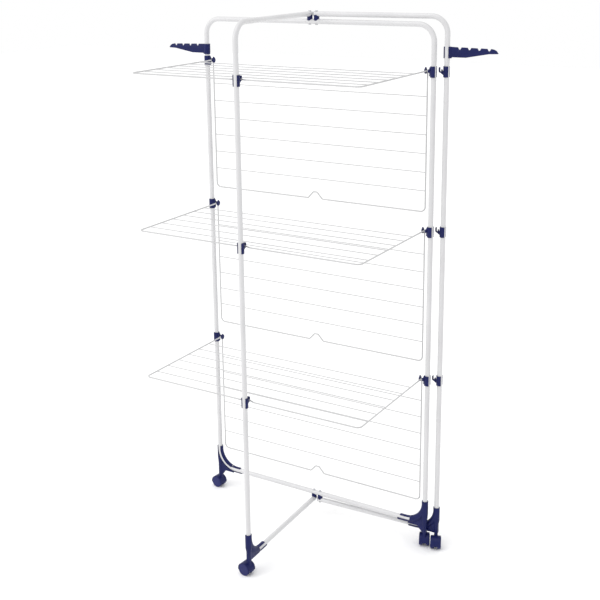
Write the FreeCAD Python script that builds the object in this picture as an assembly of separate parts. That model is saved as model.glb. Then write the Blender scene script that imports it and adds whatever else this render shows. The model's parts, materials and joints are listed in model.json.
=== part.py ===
"""Clothes drying rack: a fixed frame, two folding wings, six wire racks, two hanger arms, four casters.

World frame in millimetres: X runs along the main frame, +Y is the back, +Z is up.
The origin is on the floor under the middle of the main frame.
"""
import FreeCAD, Part
import math
import os

V = FreeCAD.Vector
X_AXIS = V(1, 0, 0)
Y_AXIS = V(0, 1, 0)
Z_AXIS = V(0, 0, 1)
ORIGIN = V(0, 0, 0)

# Tubes
TUBE_R = 8.0
TUBE_WALL = 1.2
SWAGE_R = TUBE_R - TUBE_WALL - 0.05
SWAGE_LENGTH = 45.0
JOINT_Z = 842.0
BEND_TOP = 50.0
BEND_BOTTOM = 70.0

# Main frame and wings
FRAME_HALF = 406.0
FRAME_TOP = 1689.0
FRAME_BOTTOM = 84.0
BAR_GAP = 23.0
WING_TOP = FRAME_TOP + BAR_GAP
WING_BOTTOM = FRAME_BOTTOM - BAR_GAP
PIVOT_X = 12.0
WING_R = 427.0
WING_TAIL = 7.0
WING_OPEN_DEG = 90.0 + math.degrees(math.asin(PIVOT_X / WING_R))
WING_SHUT_DEG = 2.65
PLUG_FLANGE = 1.0
PLUG_DEPTH = 6.0

# Centre pivots
RIVET_R = 2.5
RIVET_HEAD_R = 4.5
RIVET_HEAD_H = 2.2
RUN_GAP = 0.07
SADDLE_R = 8.5
SADDLE_WRAP = 5.0
SADDLE_SPLIT = 0.15

# Racks
RACK_LEVELS = {"top": 1555.0, "mid": 1071.0, "low": 587.0}
RACK_HALF = 385.0
FRONT_LENGTH = 412.9
BACK_LENGTH = 426.0
RACK_AXIS_Y = 3.5
RIM_R = 2.25
WIRE_R = 1.5
WIRE_STATIONS = (76.0, 133.0, 190.0, 247.0, 304.0, 361.0)
WIRE_END = RACK_HALF - 1.5
RACK_CORNER_R = 15.0
PEG_BEND_R = 5.0
PEG_END = 396.0
NOTCH_HALF = 26.0
NOTCH_FLAT = 7.0
NOTCH_REACH = 408.4
NOTCH_BEND_R = 6.0

# Snap clips shared by brackets, hooks and arms
CLIP_IN = TUBE_R + 0.1
CLIP_OUT = 10.5
CLIP_OPEN_DEG = 100.0
CLIP_UP = 14.0
CLIP_DOWN = 18.0

# Rack brackets, measured inward from the post axis
HUB_NEAR = 9.6
HUB_FAR = 15.6
HUB_HALF_Y = 8.4
HUB_HALF_Z = 5.4
BLADE_HALF_Y = 1.0
BLADE_HALF_Z = 2.6
CAP_NEAR = 24.0
CAP_FAR = 27.0
CAP_R = 8.5
CAP_TIP = 11.5

# Wing hooks, measured inward from the post axis
HOOK_AT = WING_R - NOTCH_REACH
HOOK_GAP = 0.35
HOOK_WALL = 2.8
HOOK_HALF_W = 4.0
HOOK_LIP = 9.0
HOOK_NECK_TOP = 1.0

# Hanger arms, measured outward from the post axis
ARM_HALF_T = 2.5
ARM_TIP = 153.0
ARM_TOP = 33.0
ARM_FRONT_Z = 18.5
ARM_TAPER_FROM = 58.0
ARM_TAPER_TO = 127.0
NOTCH_STATIONS = (38.0, 67.5, 97.0, 126.5)
NOTCH_TOP_HALF = 6.0
NOTCH_BASE_HALF = 2.2
NOTCH_DROP = 6.5
ARM_TOP_FALL = 0.022
LEFT_ARM_Z = 1574.5
RIGHT_ARM_Z = 1592.5

# Corner feet, measured inward from the post axis and up from the bar axis
FOOT_R = 10.6
FOOT_TOP = 80.0
FOOT_BASE_Z = 50.0
FOOT_NECK_R = 7.0
FOOT_NECK_TOP = 75.0
FOOT_REACH = 94.0
FOOT_SIDE_END = 50.0
FOOT_TROUGH = 13.0
FOOT_LIP = 2.4
FOOT_LIP_HALF = 6.0
FOOT_LIP_SHORT = 7.0
FOOT_SLOT_HALF = 5.6
FOOT_WEB_HALF = 5.0
FOOT_TUBE_R = TUBE_R + 0.1
SOCKET_TOP_Z = 80.0

# Casters
WHEEL_R = 20.0
WHEEL_IN = 6.0
WHEEL_OUT = 17.2
WHEEL_ROUND = 3.0
WHEEL_INNER_ROUND = 0.8
TRAIL = 11.0
STEM_R = 4.0
STEM_TOP_Z = 78.0
COLLAR_R = 7.0
COLLAR_TOP_R = 5.5
COLLAR_BASE_Z = 33.0
COLLAR_GAP = 0.8
AXLE_R = 2.0
AXLE_HALF = 15.0
CORE_HALF = 5.6
CORE_DISC_R = 14.0
HOOD_IN = 20.5
HOOD_OUT = 22.2
HOOD_HALF = 16.5
HOOD_ROUND = 1.4
HOOD_FROM_DEG = -12.0
HOOD_TO_DEG = 192.0


def export(name, shape):
    shape.exportStep("parts/" + name + ".step")


def rounded_path(points, radii):
    """Wire through the points, each inner corner replaced by an arc of its radius."""
    edges = []
    last = points[0]
    for before, corner, after, radius in zip(points, points[1:], points[2:], radii):
        into = (corner - before).normalize()
        out = (after - corner).normalize()
        turn = into.getAngle(out)
        cut = radius * math.tan(turn / 2)
        start = corner - into * cut
        end = corner + out * cut
        toward = (out - into).normalize()
        middle = corner + toward * (radius / math.cos(turn / 2) - radius)
        edges.append(Part.makeLine(last, start))
        edges.append(Part.Arc(start, middle, end).toShape())
        last = end
    edges.append(Part.makeLine(last, points[-1]))
    return Part.Wire(edges)


def sweep(path, radius):
    """Round bar of the given radius along the path."""
    first = path.Edges[0]
    start = first.valueAt(first.FirstParameter)
    ring = Part.Wire([Part.makeCircle(radius, start, first.tangentAt(first.FirstParameter))])
    return path.makePipeShell([ring], True, False)


def tube(points, radii):
    """Hollow round tube along a rounded path."""
    path = rounded_path(points, radii)
    return sweep(path, TUBE_R).cut(sweep(path, TUBE_R - TUBE_WALL))


def prism(points, direction):
    """Solid from a flat polygon pushed along the direction."""
    return Part.Face(Part.makePolygon(points + [points[0]])).extrude(direction)


def turned(shape, degrees, centre=ORIGIN, axis=Z_AXIS):
    copy = shape.copy()
    copy.rotate(centre, axis, degrees)
    return copy


def moved(shape, x=0.0, y=0.0, z=0.0):
    copy = shape.copy()
    copy.translate(V(x, y, z))
    return copy


def fuse_all(shapes):
    result = shapes[0]
    for shape in shapes[1:]:
        result = result.fuse(shape)
    return result.removeSplitter()


def swage(x, y, radius, wall):
    """Reduced tube end that plugs into the upper tube at the joint line."""
    outer = Part.makeCylinder(radius, SWAGE_LENGTH, V(x, y, JOINT_Z))
    inner = Part.makeCylinder(radius - wall, SWAGE_LENGTH, V(x, y, JOINT_Z))
    return outer.cut(inner)


def swage_step(x, y):
    """Ring that closes the step between the full tube and its reduced end."""
    outer = Part.makeCylinder(TUBE_R, TUBE_WALL, V(x, y, JOINT_Z - TUBE_WALL))
    inner = Part.makeCylinder(SWAGE_R - TUBE_WALL, TUBE_WALL, V(x, y, JOINT_Z - TUBE_WALL))
    return outer.cut(inner)


def rivet_holes(shape, z, xs):
    """Cut the upright rivet holes through a bar at height z."""
    for x in xs:
        drill = Part.makeCylinder(RIVET_R + RUN_GAP, 4 * TUBE_R, V(x, 0, z - 2 * TUBE_R))
        shape = shape.cut(drill)
    return shape


# ---------------------------------------------------------------- main frame
def frame_upper():
    points = [V(-FRAME_HALF, 0, JOINT_Z), V(-FRAME_HALF, 0, FRAME_TOP),
              V(FRAME_HALF, 0, FRAME_TOP), V(FRAME_HALF, 0, JOINT_Z)]
    bent = tube(points, (BEND_TOP, BEND_TOP))
    return rivet_holes(bent, FRAME_TOP, (-PIVOT_X, PIVOT_X))


def frame_lower():
    points = [V(-FRAME_HALF, 0, JOINT_Z), V(-FRAME_HALF, 0, FRAME_BOTTOM),
              V(FRAME_HALF, 0, FRAME_BOTTOM), V(FRAME_HALF, 0, JOINT_Z)]
    pieces = [tube(points, (BEND_BOTTOM, BEND_BOTTOM))]
    for side in (-1, 1):
        pieces.append(swage(side * FRAME_HALF, 0, SWAGE_R, TUBE_WALL))
        pieces.append(swage_step(side * FRAME_HALF, 0))
    return rivet_holes(fuse_all(pieces), FRAME_BOTTOM, (-PIVOT_X, PIVOT_X))


# --------------------------------------------------------------------- wings
# A wing is modelled folded to +X, its pivot at (PIVOT_X, 0).
WING_POST_X = PIVOT_X + WING_R
WING_TAIL_X = PIVOT_X - WING_TAIL


def wing_upper():
    points = [V(WING_TAIL_X, 0, WING_TOP), V(WING_POST_X, 0, WING_TOP), V(WING_POST_X, 0, JOINT_Z)]
    return rivet_holes(tube(points, (BEND_TOP,)), WING_TOP, (PIVOT_X,))


def wing_lower():
    points = [V(WING_TAIL_X, 0, WING_BOTTOM), V(WING_POST_X, 0, WING_BOTTOM),
              V(WING_POST_X, 0, JOINT_Z)]
    pieces = [tube(points, (BEND_BOTTOM,)), swage(WING_POST_X, 0, SWAGE_R, TUBE_WALL),
              swage_step(WING_POST_X, 0)]
    return rivet_holes(fuse_all(pieces), WING_BOTTOM, (PIVOT_X,))


def wing_plugs():
    """End plugs pressed into the two tube ends beside the pivots."""
    plugs = []
    for z in (WING_TOP, WING_BOTTOM):
        flange = Part.makeCylinder(TUBE_R, PLUG_FLANGE, V(WING_TAIL_X - PLUG_FLANGE, 0, z), X_AXIS)
        core = Part.makeCylinder(TUBE_R - TUBE_WALL - 0.05, PLUG_DEPTH, V(WING_TAIL_X, 0, z), X_AXIS)
        relief = Part.makeCylinder(RIVET_R + 2, 4 * TUBE_R, V(PIVOT_X, 0, z - 2 * TUBE_R))
        plugs.append(flange.fuse(core).removeSplitter().cut(relief))
    return Part.makeCompound(plugs)


def saddle_block(bar_z, toward):
    """Round block between the bars, hollowed to hug the bar at bar_z.

    toward is +1 when the block sits above its bar and -1 when it sits below.
    """
    split = bar_z + toward * (BAR_GAP / 2 - SADDLE_SPLIT)
    wrap = bar_z + toward * (TUBE_R - SADDLE_WRAP)
    low = min(split, wrap)
    block = Part.makeCylinder(SADDLE_R, abs(split - wrap), V(PIVOT_X, 0, low))
    bar = Part.makeCylinder(TUBE_R + 0.02, 6 * SADDLE_R, V(PIVOT_X - 3 * SADDLE_R, 0, bar_z), X_AXIS)
    drill = Part.makeCylinder(RIVET_R + RUN_GAP, 8 * TUBE_R, V(PIVOT_X, 0, bar_z - 4 * TUBE_R))
    return block.cut(bar).cut(drill)


def frame_saddles():
    blocks = []
    for bar_z, toward in ((FRAME_TOP, 1), (FRAME_BOTTOM, -1)):
        block = saddle_block(bar_z, toward)
        blocks.append(block)
        blocks.append(turned(block, 180))
    return Part.makeCompound(blocks)


def wing_saddles():
    return Part.makeCompound([saddle_block(WING_TOP, -1), saddle_block(WING_BOTTOM, 1)])


def pivot_rivets():
    """Four rivets, each through a frame bar and the wing bar beside it."""
    rivets = []
    for low_bar, high_bar in ((FRAME_TOP, WING_TOP), (WING_BOTTOM, FRAME_BOTTOM)):
        low = low_bar - TUBE_R
        high = high_bar + TUBE_R
        for x in (-PIVOT_X, PIVOT_X):
            shank = Part.makeCylinder(RIVET_R, high - low, V(x, 0, low))
            parts = [shank]
            for z, way in ((low, -1), (high, 1)):
                base = V(x, 0, z + way * 0.1 - (RIVET_HEAD_H if way < 0 else 0))
                head = Part.makeCylinder(RIVET_HEAD_R, RIVET_HEAD_H, base)
                rim = [e for e in head.Edges if abs(e.BoundBox.ZMax - e.BoundBox.ZMin) < 1e-6
                       and way * (e.BoundBox.ZMax - z) > RIVET_HEAD_H / 2]
                parts.append(head.makeFillet(RIVET_HEAD_H * 0.7, rim))
                bridge = Part.makeCylinder(RIVET_R, 0.2, V(x, 0, z - 0.1))
                parts.append(bridge)
            rivets.append(fuse_all(parts))
    return Part.makeCompound(rivets)


# --------------------------------------------------------------------- clips
def clip_ring(low, high, open_angle):
    """Open snap ring round a post on the Z axis, gap centred on open_angle degrees from +X."""
    ring = Part.makeCylinder(CLIP_OUT, high - low, V(0, 0, low))
    ring = ring.cut(Part.makeCylinder(CLIP_IN, high - low, V(0, 0, low)))
    far = 2 * CLIP_OUT
    half = math.radians(CLIP_OPEN_DEG / 2)
    wedge = prism([V(0, 0, low), V(far * math.cos(half), -far * math.sin(half), low),
                   V(2 * far, 0, low), V(far * math.cos(half), far * math.sin(half), low)],
                  V(0, 0, high - low))
    ring = ring.cut(wedge)
    lips = []
    mid = (CLIP_IN + CLIP_OUT) / 2
    for side in (-1, 1):
        spot = V(mid * math.cos(half), side * mid * math.sin(half), low)
        lips.append(Part.makeCylinder((CLIP_OUT - CLIP_IN) / 2, high - low, spot))
    return turned(fuse_all([ring] + lips), open_angle)


def rack_bracket():
    """Bracket on the post at the origin; the rack side is +X, the snap opening is -X."""
    pieces = [clip_ring(-CLIP_DOWN, CLIP_UP, 180)]
    hub = Part.makeBox(HUB_FAR - HUB_NEAR, 2 * (HUB_HALF_Y - HUB_HALF_Z), 2 * HUB_HALF_Z,
                       V(HUB_NEAR, -(HUB_HALF_Y - HUB_HALF_Z), -HUB_HALF_Z))
    pieces.append(hub)
    for side in (-1, 1):
        pieces.append(Part.makeCylinder(HUB_HALF_Z, HUB_FAR - HUB_NEAR,
                                        V(HUB_NEAR, side * (HUB_HALF_Y - HUB_HALF_Z), 0), X_AXIS))
    pieces.append(Part.makeBox(4, 9, CLIP_UP + CLIP_DOWN - 6, V(8.4, -4.5, -CLIP_DOWN + 3)))
    pieces.append(Part.makeBox(CAP_FAR - HUB_NEAR, 2 * BLADE_HALF_Y, 2 * BLADE_HALF_Z,
                               V(HUB_NEAR, -BLADE_HALF_Y, -BLADE_HALF_Z)))
    disc = Part.makeCylinder(CAP_R, CAP_FAR - CAP_NEAR, V(CAP_NEAR, 0, 0), X_AXIS)
    slope = CAP_R * math.sin(math.acos(CAP_R / CAP_TIP))
    level = CAP_R * CAP_R / CAP_TIP
    tip = prism([V(CAP_NEAR, -slope, level), V(CAP_NEAR, 0, CAP_TIP), V(CAP_NEAR, slope, level),
                 V(CAP_NEAR, 0, 0)], V(CAP_FAR - CAP_NEAR, 0, 0))
    pieces.append(disc.fuse(tip).removeSplitter())
    body = fuse_all(pieces)
    for side in (-1, 1):
        bore = Part.makeCylinder(RIM_R + RUN_GAP, HUB_FAR - CLIP_IN,
                                 V(CLIP_IN, side * RACK_AXIS_Y, 0), X_AXIS)
        body = body.cut(bore)
    return body.cut(Part.makeCylinder(CLIP_IN, 4 * CLIP_DOWN, V(0, 0, -2 * CLIP_DOWN)))


def wing_hook():
    """Hook on the post at the origin; the hook side is -X, the snap opening is +X."""
    ring = clip_ring(-CLIP_DOWN, CLIP_UP, 0)
    inner = RIM_R + HOOK_GAP
    outer = inner + HOOK_WALL
    low = V(-HOOK_AT, -HOOK_HALF_W, 0)
    width = 2 * HOOK_HALF_W
    cup = Part.makeCylinder(outer, width, low, Y_AXIS)
    lip = Part.makeBox(HOOK_WALL, width, HOOK_LIP, low - X_AXIS * outer)
    tip = Part.makeCylinder(HOOK_WALL / 2, width, low - X_AXIS * (outer - HOOK_WALL / 2) + Z_AXIS * HOOK_LIP,
                            Y_AXIS)
    root = prism([V(-HOOK_AT, -HOOK_HALF_W, -outer), V(-9.0, -HOOK_HALF_W, -12.5),
                  V(-9.0, -HOOK_HALF_W, -2.0), V(-HOOK_AT + inner, -HOOK_HALF_W, HOOK_NECK_TOP),
                  V(-HOOK_AT, -HOOK_HALF_W, HOOK_NECK_TOP)], V(0, width, 0))
    body = fuse_all([ring, cup, lip, tip, root])
    body = body.cut(Part.makeCylinder(inner, width, low, Y_AXIS))
    body = body.cut(Part.makeBox(2 * inner, width, HOOK_LIP * 2, low - X_AXIS * inner))
    return body.cut(Part.makeCylinder(CLIP_IN, 4 * CLIP_DOWN, V(0, 0, -2 * CLIP_DOWN)))


def hanger_arm():
    """Notched arm on the post at the origin, reaching +X; its snap opening is -Y."""
    def top(x):
        return ARM_TOP - ARM_TOP_FALL * x

    outline = [V(CLIP_IN, -ARM_HALF_T, 0), V(ARM_TAPER_FROM * 0.27, -ARM_HALF_T, 3.0),
               V(ARM_TAPER_FROM, -ARM_HALF_T, 3.0), V(ARM_TAPER_TO, -ARM_HALF_T, 15.5),
               V(ARM_TIP, -ARM_HALF_T, ARM_FRONT_Z - 2.0), V(ARM_TIP, -ARM_HALF_T, ARM_FRONT_Z),
               V(ARM_TIP - 5, -ARM_HALF_T, ARM_FRONT_Z + 6.5),
               V(ARM_TIP - 12, -ARM_HALF_T, top(ARM_TIP) - 1.0)]
    for x in reversed(NOTCH_STATIONS):
        for offset, drop in ((NOTCH_TOP_HALF, 0.0), (NOTCH_BASE_HALF, NOTCH_DROP),
                             (-NOTCH_BASE_HALF, NOTCH_DROP), (-NOTCH_TOP_HALF, 0.0)):
            outline.append(V(x + offset, -ARM_HALF_T, top(x) - drop))
    outline.append(V(CLIP_IN, -ARM_HALF_T, ARM_TOP))
    blade = prism(outline, V(0, 2 * ARM_HALF_T, 0))
    root = prism([V(CLIP_IN, -5.5, 0), V(13.5, -ARM_HALF_T, 0), V(13.5, ARM_HALF_T, 0),
                  V(CLIP_IN, 5.5, 0)], V(0, 0, ARM_TOP))
    body = fuse_all([clip_ring(0, ARM_TOP, -90), blade, root])
    return body.cut(Part.makeCylinder(CLIP_IN, 3 * ARM_TOP, V(0, 0, -ARM_TOP)))


# --------------------------------------------------------------------- racks
def rack_map(level, front):
    """Place a rack point (x along the frame, reach from its hinge axis)."""
    if front:
        return lambda x, reach: V(x, -RACK_AXIS_Y - reach, level)
    return lambda x, reach: V(x, RACK_AXIS_Y, level - reach)


def rack_rim(level, front):
    place = rack_map(level, front)
    reach = FRONT_LENGTH if front else BACK_LENGTH
    inner = NOTCH_REACH - RACK_AXIS_Y
    points = [place(-PEG_END, 0), place(-RACK_HALF, 0), place(-RACK_HALF, reach),
              place(-NOTCH_HALF, reach), place(-NOTCH_FLAT, inner), place(NOTCH_FLAT, inner),
              place(NOTCH_HALF, reach), place(RACK_HALF, reach), place(RACK_HALF, 0),
              place(PEG_END, 0)]
    radii = (PEG_BEND_R, RACK_CORNER_R, NOTCH_BEND_R, NOTCH_BEND_R, NOTCH_BEND_R, NOTCH_BEND_R,
             RACK_CORNER_R, PEG_BEND_R)
    return sweep(rounded_path(points, radii), RIM_R)


def rack_wires(level, front):
    place = rack_map(level, front)
    rods = []
    for reach in WIRE_STATIONS:
        rods.append(Part.makeCylinder(WIRE_R, 2 * WIRE_END, place(-WIRE_END, reach), X_AXIS))
    return Part.makeCompound(rods)


# ---------------------------------------------------------------------- feet
def corner_foot(bar_z):
    """Foot on the post at the origin; its arm follows the bar to +X and its channel opens to -Y."""
    run = FOOT_REACH
    bend = [V(0, 0, bar_z + FOOT_TOP), V(0, 0, bar_z), V(run, 0, bar_z)]
    shell = sweep(rounded_path(bend, (BEND_BOTTOM,)), FOOT_R)
    neck_z = bar_z + 34
    column = Part.makeCylinder(FOOT_R, bar_z + FOOT_TOP - neck_z, V(0, 0, neck_z))
    taper = Part.makeCone(FOOT_NECK_R, FOOT_R, neck_z - FOOT_NECK_TOP, V(0, 0, FOOT_NECK_TOP))
    neck = Part.makeCylinder(FOOT_NECK_R, FOOT_NECK_TOP - FOOT_BASE_Z, V(0, 0, FOOT_BASE_Z))
    under = bar_z - FOOT_TROUGH
    step = max(under, FOOT_BASE_Z)
    web = prism([V(-FOOT_NECK_R, -FOOT_WEB_HALF, FOOT_BASE_Z), V(FOOT_NECK_R, -FOOT_WEB_HALF, FOOT_BASE_Z),
                 V(22, -FOOT_WEB_HALF, step), V(58, -FOOT_WEB_HALF, step),
                 V(60, -FOOT_WEB_HALF, bar_z), V(20, -FOOT_WEB_HALF, bar_z + 30),
                 V(0, -FOOT_WEB_HALF, bar_z + 70), V(-FOOT_NECK_R, -FOOT_WEB_HALF, bar_z + 20)],
                V(0, 2 * FOOT_WEB_HALF, 0))
    body = fuse_all([shell, column, taper, neck, web])
    keep_low = Part.makeBox(4 * run, 4 * FOOT_R, 4 * run, V(-run, -2 * FOOT_R, FOOT_BASE_Z - 3))
    body = body.common(keep_low)
    long_bend = [V(0, 0, bar_z + FOOT_TOP + 20), V(0, 0, bar_z), V(run + 20, 0, bar_z)]
    body = body.cut(sweep(rounded_path(long_bend, (BEND_BOTTOM,)), FOOT_TUBE_R))
    body = body.cut(channel_slot(bar_z, run))
    side_gap = Part.makeBox(run, 4 * FOOT_R, FOOT_TUBE_R + 1.0, V(FOOT_SIDE_END, -2 * FOOT_R, bar_z - 1.0))
    body = body.cut(side_gap)
    for side in (-1, 1):
        start = FOOT_LIP_HALF if side > 0 else -FOOT_LIP_HALF - 2 * FOOT_R
        trim = Part.makeBox(run, 2 * FOOT_R, 3 * FOOT_R, V(FOOT_SIDE_END, start, bar_z))
        body = body.cut(trim)
    ceiling = bar_z + FOOT_TUBE_R + FOOT_LIP
    body = body.cut(Part.makeBox(run, 4 * FOOT_R, 3 * FOOT_R, V(FOOT_SIDE_END, -2 * FOOT_R, ceiling)))
    short = Part.makeBox(run, 4 * FOOT_R, 4 * FOOT_R, V(run - FOOT_LIP_SHORT, -2 * FOOT_R, bar_z))
    body = body.cut(short)
    socket = Part.makeCylinder(STEM_R + RUN_GAP, SOCKET_TOP_Z - FOOT_BASE_Z + 5, V(0, 0, FOOT_BASE_Z - 5))
    return body.cut(socket)


def channel_slot(bar_z, run):
    """Slot that opens the tube channel to -Y along the whole bend."""
    bend = [V(0, 0, bar_z + FOOT_TOP + 20), V(0, 0, bar_z), V(run + 20, 0, bar_z)]
    half = FOOT_SLOT_HALF
    top = bend[0].z
    profile = Part.makePolygon([V(-half, 0, top), V(half, 0, top), V(half, -2 * FOOT_R, top),
                                V(-half, -2 * FOOT_R, top), V(-half, 0, top)])
    return rounded_path(bend, (BEND_BOTTOM,)).makePipeShell([profile], True, False)


# ------------------------------------------------------------------- casters
def sector(radius, low, high, half):
    """Pie slice about the Y axis from low to high degrees, measured from +X toward +Z."""
    steps = 8
    points = [V(0, -half, 0)]
    for index in range(steps + 1):
        angle = math.radians(low + (high - low) * index / steps)
        points.append(V(radius * math.cos(angle), -half, radius * math.sin(angle)))
    return prism(points, V(0, 2 * half, 0))


def caster_housing():
    """Swivel housing on the Z axis at the origin; the wheels trail toward -X."""
    hub = V(-TRAIL, 0, WHEEL_R)
    disc = Part.makeCylinder(CORE_DISC_R, 2 * CORE_HALF, hub - Y_AXIS * CORE_HALF, Y_AXIS)
    hood = Part.makeCylinder(HOOD_OUT, 2 * HOOD_HALF, ORIGIN - Y_AXIS * HOOD_HALF, Y_AXIS)
    hood = hood.makeFillet(HOOD_ROUND, [e for e in hood.Edges if e.BoundBox.YLength < 1e-6])
    hood = hood.cut(Part.makeCylinder(HOOD_IN, 2 * HOOD_HALF, ORIGIN - Y_AXIS * HOOD_HALF, Y_AXIS))
    hood = hood.common(sector(3 * HOOD_OUT, HOOD_FROM_DEG, HOOD_TO_DEG, HOOD_HALF))
    hood = moved(hood, hub.x, 0, hub.z)
    bridge = Part.makeCylinder(HOOD_OUT - 0.5, 2 * CORE_HALF, ORIGIN - Y_AXIS * CORE_HALF, Y_AXIS)
    bridge = bridge.common(sector(3 * HOOD_OUT, HOOD_FROM_DEG, HOOD_TO_DEG, CORE_HALF))
    bridge = moved(bridge, hub.x, 0, hub.z)
    collar_low = COLLAR_BASE_Z
    collar_height = FOOT_BASE_Z - COLLAR_GAP - collar_low
    collar = Part.makeCone(COLLAR_R, COLLAR_TOP_R, collar_height, V(0, 0, collar_low))
    keep_off = Part.makeCylinder(HOOD_IN, 2 * HOOD_HALF, hub - Y_AXIS * HOOD_HALF, Y_AXIS)
    keep_off = keep_off.cut(Part.makeBox(100, 2 * CORE_HALF, 100, V(-60, -CORE_HALF, -20)))
    stem = Part.makeCylinder(STEM_R, STEM_TOP_Z - collar_low, V(0, 0, collar_low))
    body = fuse_all([disc, hood, bridge, collar.cut(keep_off), stem.cut(keep_off)])
    return body.cut(Part.makeCylinder(AXLE_R, 4 * CORE_HALF, hub - Y_AXIS * 2 * CORE_HALF, Y_AXIS))


def caster_axle():
    return Part.makeCylinder(AXLE_R, 2 * AXLE_HALF, V(-TRAIL, -AXLE_HALF, WHEEL_R), Y_AXIS)


def caster_wheel(side):
    """One wheel on the axle, on the +Y side when side is 1."""
    width = WHEEL_OUT - WHEEL_IN
    wheel = Part.makeCylinder(WHEEL_R, width, ORIGIN, Y_AXIS)
    wheel = wheel.makeFillet(WHEEL_ROUND, [e for e in wheel.Edges if e.BoundBox.YLength < 1e-6
                                           and e.BoundBox.YMax > width / 2])
    inner_rim = [e for e in wheel.Edges if e.BoundBox.YLength < 1e-6 and e.BoundBox.YMax < 1e-6
                 and e.BoundBox.XLength > WHEEL_R]
    wheel = wheel.makeFillet(WHEEL_INNER_ROUND, inner_rim)
    bore = Part.makeCylinder(AXLE_R + RUN_GAP, AXLE_HALF - WHEEL_IN + 0.3, ORIGIN - Y_AXIS * 0.1, Y_AXIS)
    wheel = wheel.cut(bore)
    wheel = moved(wheel, -TRAIL, WHEEL_IN, WHEEL_R)
    return wheel if side > 0 else turned(wheel, 180, V(-TRAIL, 0, WHEEL_R), X_AXIS)


# ------------------------------------------------------------------ assembly
def right_wing_swing(shape):
    """From the wing along +X to the shut right wing, just behind the main frame."""
    return turned(shape, WING_SHUT_DEG, V(PIVOT_X, 0, 0))


def left_wing_swing(shape):
    """From the wing along +X to the open left wing: mirrored, then swung to the front."""
    flipped = shape.mirror(ORIGIN, X_AXIS)
    return turned(flipped, WING_OPEN_DEG, V(-PIVOT_X, 0, 0))


def wing_post(side, degrees):
    """Foot of a wing post, its wing turned by the given angle from the +X or -X direction."""
    angle = math.radians(degrees)
    return V(side * (PIVOT_X + WING_R * math.cos(angle)), side * WING_R * math.sin(angle), 0)


CASTERS = {
    "frame_left": (V(-FRAME_HALF, 0, 0), -6.0),
    "frame_right": (V(FRAME_HALF, 0, 0), -68.3),
    "left_wing": (wing_post(-1, WING_OPEN_DEG), -6.0),
    "right_wing": (wing_post(1, WING_SHUT_DEG), 111.7),
}


def main():
    os.makedirs("parts", exist_ok=True)
    export("main_frame_upper", frame_upper())
    export("main_frame_lower", frame_lower())
    export("frame_pivot_saddles", frame_saddles())
    export("pivot_rivets", pivot_rivets())

    bracket = rack_bracket()
    for level, z in RACK_LEVELS.items():
        export("bracket_left_" + level, moved(bracket, -FRAME_HALF, 0, z))
        export("bracket_right_" + level, moved(turned(bracket, 180), FRAME_HALF, 0, z))

    foot = corner_foot(FRAME_BOTTOM)
    export("foot_frame_left", moved(foot, -FRAME_HALF, 0, 0))
    export("foot_frame_right", moved(turned(foot, 180), FRAME_HALF, 0, 0))

    wing_foot = turned(corner_foot(WING_BOTTOM), 180)
    hook = wing_hook()
    wing_nodes = {"tube_upper": wing_upper(), "tube_lower": wing_lower(),
                  "end_plugs": wing_plugs(), "pivot_saddles": wing_saddles(),
                  "foot": moved(wing_foot, WING_POST_X)}
    for level, z in RACK_LEVELS.items():
        wing_nodes["hook_" + level] = moved(hook, WING_POST_X, 0, z)
    for name, shape in wing_nodes.items():
        export("right_wing_" + name, right_wing_swing(shape))
        export("left_wing_" + name, left_wing_swing(shape))

    arm = hanger_arm()
    export("hanger_arm_right", right_wing_swing(moved(arm, WING_POST_X, 0, RIGHT_ARM_Z)))
    export("hanger_arm_left", moved(turned(arm, 180), -FRAME_HALF, 0, LEFT_ARM_Z))

    for level, z in RACK_LEVELS.items():
        for row, front in (("front", True), ("back", False)):
            export("rack_" + row + "_" + level + "_rim", rack_rim(z, front))
            export("rack_" + row + "_" + level + "_wires", rack_wires(z, front))

    housing = caster_housing()
    for name, (spot, heading) in CASTERS.items():
        pieces = {"housing": housing, "axle": caster_axle(),
                  "wheel_a": caster_wheel(1), "wheel_b": caster_wheel(-1)}
        for piece, shape in pieces.items():
            export("caster_" + name + "_" + piece, moved(turned(shape, heading), spot.x, spot.y, 0))


main()
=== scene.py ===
import json
import math

import bmesh
import bpy
from mathutils import Matrix, Vector


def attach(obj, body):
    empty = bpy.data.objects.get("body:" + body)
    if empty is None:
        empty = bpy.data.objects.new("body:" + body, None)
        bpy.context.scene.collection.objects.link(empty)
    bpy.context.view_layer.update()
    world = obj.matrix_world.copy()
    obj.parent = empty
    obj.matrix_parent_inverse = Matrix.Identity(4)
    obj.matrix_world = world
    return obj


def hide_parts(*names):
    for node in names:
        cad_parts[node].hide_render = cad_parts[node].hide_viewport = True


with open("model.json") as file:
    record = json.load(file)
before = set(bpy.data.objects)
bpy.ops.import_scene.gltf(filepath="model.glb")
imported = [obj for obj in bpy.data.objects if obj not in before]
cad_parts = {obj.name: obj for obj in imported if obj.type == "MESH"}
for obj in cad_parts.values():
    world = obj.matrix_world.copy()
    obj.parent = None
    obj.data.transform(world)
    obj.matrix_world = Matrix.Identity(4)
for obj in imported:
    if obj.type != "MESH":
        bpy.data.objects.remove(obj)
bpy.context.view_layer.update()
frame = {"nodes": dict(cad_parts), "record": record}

NODES = frame["nodes"]
SLOTS = {s["node"]: s["material_slot"] for s in frame["record"]["subparts"]}
BODY_OF = {n: b for b, members in frame["record"]["behaviour"]["bodies"].items() for n in members}


# ------------------------------------------------------------------ camera
# Place in metres. Turn about z, pitch about x and roll about the line of sight, in radians.
CAMERA_PLACE = (1.68381, -2.87744, 1.90547)
CAMERA_TURN = 0.55053
CAMERA_PITCH = -0.25811
CAMERA_ROLL = 0.01366
CAMERA_SHIFT = (0.0112, -0.1167)
LENS_MM = 63.87
SENSOR_MM = 36.0
FAR_CLIP = 60.0


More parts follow.
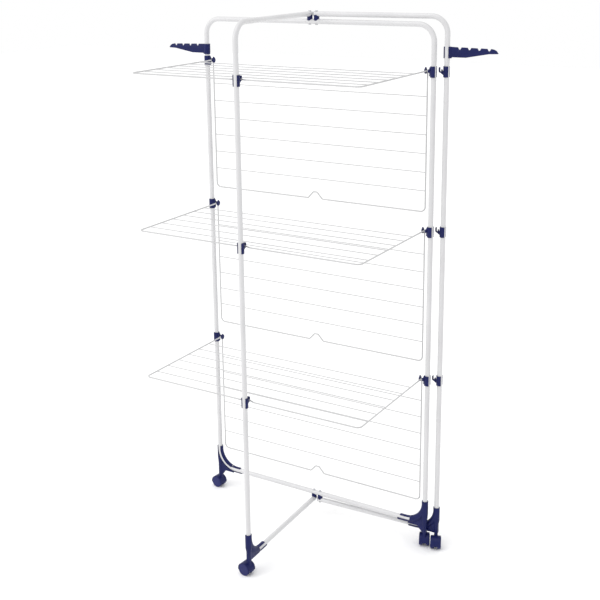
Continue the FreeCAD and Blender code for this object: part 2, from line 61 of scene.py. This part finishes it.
def make_camera():
    """Camera at the product view: seen from the front right, a little above the rack."""
    data = bpy.data.cameras.new("camera")
    data.sensor_width = SENSOR_MM
    data.lens = LENS_MM
    data.shift_x, data.shift_y = CAMERA_SHIFT
    data.clip_end = FAR_CLIP
    cam = bpy.data.objects.new("camera", data)
    bpy.context.scene.collection.objects.link(cam)
    turn = Matrix.Rotation(CAMERA_TURN, 3, "Z") @ Matrix.Rotation(CAMERA_PITCH, 3, "X")
    turn = turn @ Matrix.Rotation(CAMERA_ROLL, 3, "Y") @ Matrix.Rotation(math.pi / 2, 3, "X")
    cam.matrix_world = Matrix.Translation(CAMERA_PLACE) @ turn.to_4x4()
    bpy.context.scene.camera = cam


make_camera()


# --------------------------------------------------------------- materials
def new_material(name):
    """Empty material with one surface shader: (material, node tree, shader)."""
    mat = bpy.data.materials.new(name)
    mat.use_nodes = True
    tree = mat.node_tree
    tree.nodes.clear()
    out = tree.nodes.new("ShaderNodeOutputMaterial")
    bsdf = tree.nodes.new("ShaderNodeBsdfPrincipled")
    tree.links.new(bsdf.outputs[0], out.inputs["Surface"])
    return mat, tree, bsdf


def noise(tree, coords, scale, detail=2.0, rough=0.5):
    """Socket of a cloud of noise between 0 and 1."""
    node = tree.nodes.new("ShaderNodeTexNoise")
    node.inputs["Scale"].default_value = scale
    node.inputs["Detail"].default_value = detail
    node.inputs["Roughness"].default_value = rough
    tree.links.new(coords, node.inputs["Vector"])
    return node.outputs["Fac"]


def ramp(tree, fac, stops):
    """Colour socket that runs between two stops, each (place, colour)."""
    node = tree.nodes.new("ShaderNodeValToRGB")
    for end, (place, colour) in zip(node.color_ramp.elements, stops):
        end.position = place
        end.color = (*colour, 1.0)
    tree.links.new(fac, node.inputs["Fac"])
    return node.outputs["Color"]


def remap(tree, fac, low, high, start=0.0, end=1.0):
    """Socket that runs from low to high while the factor runs from start to end."""
    node = tree.nodes.new("ShaderNodeMapRange")
    for key, value in (("From Min", start), ("From Max", end), ("To Min", low), ("To Max", high)):
        node.inputs[key].default_value = value
    tree.links.new(fac, node.inputs["Value"])
    return node.outputs["Result"]


def mixed(tree, fac, base, tint):
    """Colour socket: the base socket, mixed towards a plain tint by the factor."""
    node = tree.nodes.new("ShaderNodeMix")
    node.data_type = "RGBA"
    tree.links.new(fac, node.inputs["Factor"])
    tree.links.new(base, node.inputs[6])
    node.inputs[7].default_value = (*tint, 1.0)
    return node.outputs[2]


def bumped(tree, bsdf, layers):
    """Stack of bumps: (height socket, strength, depth in metres)."""
    normal = None
    for height, strength, depth in layers:
        node = tree.nodes.new("ShaderNodeBump")
        node.inputs["Strength"].default_value = strength
        node.inputs["Distance"].default_value = depth
        tree.links.new(height, node.inputs["Height"])
        if normal is not None:
            tree.links.new(normal, node.inputs["Normal"])
        normal = node.outputs["Normal"]
    tree.links.new(normal, bsdf.inputs["Normal"])


def object_coords(tree):
    return tree.nodes.new("ShaderNodeTexCoord").outputs["Object"]


def edge_wear(tree, low, high):
    """Socket that is 1 on worn convex edges and 0 elsewhere."""
    geo = tree.nodes.new("ShaderNodeNewGeometry")
    return remap(tree, geo.outputs["Pointiness"], 0.0, 1.0, low, high)


def roughened(tree, bsdf, patches, low, high):
    """Drive the roughness between two values by the middle of a noise socket."""
    tree.links.new(remap(tree, patches, low, high, start=0.3, end=0.7), bsdf.inputs["Roughness"])


def powder_coat(name, dark, light, rough_low, rough_high, grain):
    """Powder coat: fine orange peel, faint cloudy tone and specks, a soft clear gloss."""
    mat, tree, bsdf = new_material(name)
    coords = object_coords(tree)
    cloud = noise(tree, coords, scale=9.0, detail=3.0)
    speck = noise(tree, coords, scale=420.0)
    base = ramp(tree, cloud, ((0.30, dark), (0.72, light)))
    shade = remap(tree, speck, low=0.0, high=0.10, start=0.45, end=0.80)
    colour = mixed(tree, shade, base, tuple(c * 0.90 for c in dark))
    tree.links.new(colour, bsdf.inputs["Base Color"])
    roughened(tree, bsdf, noise(tree, coords, scale=34.0), rough_low, rough_high)
    bsdf.inputs["Coat Weight"].default_value = 0.25
    bsdf.inputs["Coat Roughness"].default_value = 0.16
    peel = noise(tree, coords, scale=grain, rough=0.45)
    wave = noise(tree, coords, scale=55.0, detail=1.0)
    bumped(tree, bsdf, ((peel, 0.22, 0.00012), (wave, 0.12, 0.0003)))
    return mat


def moulded_plastic(name, dark, light, worn, rough_low, rough_high):
    """Moulded plastic: eroded tool grain, flow tone, edges rubbed a little paler."""
    mat, tree, bsdf = new_material(name)
    coords = object_coords(tree)
    flow = noise(tree, coords, scale=28.0, detail=4.0, rough=0.6)
    base = ramp(tree, flow, ((0.28, dark), (0.75, light)))
    patches = noise(tree, coords, scale=150.0, detail=3.0)
    rub = tree.nodes.new("ShaderNodeMath")
    rub.operation = "MULTIPLY"
    tree.links.new(edge_wear(tree, 0.52, 0.60), rub.inputs[0])
    tree.links.new(remap(tree, patches, low=0.0, high=0.5, start=0.42, end=0.70), rub.inputs[1])
    tree.links.new(mixed(tree, rub.outputs[0], base, worn), bsdf.inputs["Base Color"])
    roughened(tree, bsdf, noise(tree, coords, scale=70.0, detail=3.0), rough_low, rough_high)
    bsdf.inputs["Specular IOR Level"].default_value = 0.18
    grain = tree.nodes.new("ShaderNodeTexVoronoi")
    grain.inputs["Scale"].default_value = 1500.0
    tree.links.new(coords, grain.inputs["Vector"])
    sink = noise(tree, coords, scale=90.0, detail=1.0)
    bumped(tree, bsdf, ((grain.outputs["Distance"], 0.30, 0.00008), (sink, 0.10, 0.0003)))
    return mat


def zinc(name):
    """Zinc-plated steel: mottled tone and roughness, a very fine grain."""
    mat, tree, bsdf = new_material(name)
    coords = object_coords(tree)
    mottle = noise(tree, coords, scale=160.0, detail=4.0, rough=0.6)
    tone = ramp(tree, mottle, ((0.3, (0.36, 0.37, 0.40)), (0.7, (0.60, 0.61, 0.63))))
    tree.links.new(tone, bsdf.inputs["Base Color"])
    bsdf.inputs["Metallic"].default_value = 1.0
    roughened(tree, bsdf, noise(tree, coords, scale=420.0, detail=3.0), 0.26, 0.44)
    bumped(tree, bsdf, ((noise(tree, coords, scale=1300.0), 0.18, 0.00006),))
    return mat


MATERIALS = {
    "tube_white": powder_coat("tube_white", (0.585, 0.583, 0.592), (0.632, 0.630, 0.640), 0.27, 0.36, 640.0),
    "wire_white": powder_coat("wire_white", (0.47, 0.47, 0.475), (0.53, 0.53, 0.535), 0.30, 0.42, 900.0),
    "plastic_navy": moulded_plastic("plastic_navy", (0.0060, 0.0095, 0.066), (0.0085, 0.0125, 0.084),
                                    (0.022, 0.028, 0.15), 0.34, 0.46),
    "wheel_navy": moulded_plastic("wheel_navy", (0.0190, 0.0230, 0.100), (0.0235, 0.0280, 0.124),
                                  (0.032, 0.038, 0.14), 0.42, 0.58),
    "zinc_steel": zinc("zinc_steel"),
}


def dress(obj, slot):
    obj.data.materials.clear()
    obj.data.materials.append(MATERIALS[slot])


for node_name, node_obj in NODES.items():
    dress(node_obj, SLOTS[node_name])


# ------------------------------------------------------------ softened edges
WELD_DISTANCE = 1e-6
COPLANAR_DEG = 0.4
BEVEL_FROM_DEG = 28.0
SMOOTH_BELOW_DEG = 40.0


def softened(node, width):
    """Copy of a CAD piece with its moulded edges rounded, standing for the CAD node."""
    source = NODES[node]
    mesh = bpy.data.meshes.new(node + "_soft")
    bm = bmesh.new()
    bm.from_mesh(source.data)
    bmesh.ops.remove_doubles(bm, verts=bm.verts, dist=WELD_DISTANCE)
    coplanar = math.radians(COPLANAR_DEG)
    bmesh.ops.dissolve_limit(bm, angle_limit=coplanar, verts=bm.verts, edges=bm.edges)
    bm.to_mesh(mesh)
    bm.free()
    obj = bpy.data.objects.new(node + "_soft", mesh)
    bpy.context.scene.collection.objects.link(obj)
    bevel = obj.modifiers.new("edges", "BEVEL")
    bevel.width = width
    bevel.segments = 2
    bevel.limit_method = "ANGLE"
    bevel.angle_limit = math.radians(BEVEL_FROM_DEG)
    bevel.use_clamp_overlap = True
    baked = bake(obj)
    shade_by_angle(baked)
    dress(baked, SLOTS[node])
    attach(baked, BODY_OF[node])
    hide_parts(node)
    return baked


def bake(obj):
    """Apply an object's modifiers to its mesh."""
    graph = bpy.context.evaluated_depsgraph_get()
    mesh = bpy.data.meshes.new_from_object(obj.evaluated_get(graph))
    obj.modifiers.clear()
    old = obj.data
    obj.data = mesh
    bpy.data.meshes.remove(old)
    return obj


def shade_by_angle(obj):
    """Smooth shading, broken at the edges that turn sharply."""
    mesh = obj.data
    mesh.polygons.foreach_set("use_smooth", [True] * len(mesh.polygons))
    bm = bmesh.new()
    bm.from_mesh(mesh)
    for edge in bm.edges:
        turn = edge.calc_face_angle(0.0)
        edge.smooth = len(edge.link_faces) == 2 and turn < math.radians(SMOOTH_BELOW_DEG)
    bm.to_mesh(mesh)
    bm.free()


# How far the edges of each kind of moulded piece are rounded, in metres.
SOFT_EDGES = {"bracket": 0.0005, "hook": 0.0006, "foot": 0.0009, "hanger_arm": 0.0009,
              "saddles": 0.0008}
for node_name in sorted(NODES):
    for key, edge_width in SOFT_EDGES.items():
        if key in node_name:
            softened(node_name, edge_width)


# -------------------------------------------------------------------- stage
FLOOR_HALF = 14.0


def make_floor():
    """Pale painted floor at height 0."""
    bm = bmesh.new()
    bmesh.ops.create_grid(bm, x_segments=4, y_segments=4, size=FLOOR_HALF)
    mesh = bpy.data.meshes.new("floor")
    bm.to_mesh(mesh)
    bm.free()
    floor = bpy.data.objects.new("floor", mesh)
    bpy.context.scene.collection.objects.link(floor)
    mat, tree, bsdf = new_material("floor_paint")
    coords = object_coords(tree)
    cloud = noise(tree, coords, scale=3.0)
    tone = ramp(tree, cloud, ((0.3, (0.95, 0.95, 0.95)), (0.7, (0.965, 0.965, 0.965))))
    tree.links.new(tone, bsdf.inputs["Base Color"])
    bsdf.inputs["Roughness"].default_value = 0.75
    floor.data.materials.append(mat)


def area_light(name, place, target, size, power):
    """Rectangular lamp that faces the target; power in watts."""
    data = bpy.data.lights.new(name, "AREA")
    data.shape = "RECTANGLE"
    data.size, data.size_y = size
    data.energy = power
    lamp = bpy.data.objects.new(name, data)
    bpy.context.scene.collection.objects.link(lamp)
    way = Vector(target) - Vector(place)
    lamp.matrix_world = Matrix.Translation(place) @ way.to_track_quat("-Z", "Y").to_matrix().to_4x4()


def sun_light(name, toward, strength, spread):
    """Even light from the given direction; the spread in degrees softens its shadows."""
    data = bpy.data.lights.new(name, "SUN")
    data.energy = strength
    data.angle = math.radians(spread)
    lamp = bpy.data.objects.new(name, data)
    bpy.context.scene.collection.objects.link(lamp)
    lamp.matrix_world = Vector(toward).to_track_quat("Z", "Y").to_matrix().to_4x4()


def make_world():
    """Plain white surroundings and a neutral view transform."""
    world = bpy.data.worlds.new("studio")
    world.use_nodes = True
    back = world.node_tree.nodes["Background"]
    back.inputs["Color"].default_value = (1.0, 1.0, 1.0, 1.0)
    back.inputs["Strength"].default_value = 1.0
    bpy.context.scene.world = world
    bpy.context.scene.view_settings.view_transform = "Standard"


make_floor()
make_world()
sun_light("sky", (-0.5, -0.9, 2.2), 0.75, 50.0)
area_light("key", (-2.6, -3.2, 2.8), (0.0, 0.0, 1.0), (1.8, 2.4), 30.0)
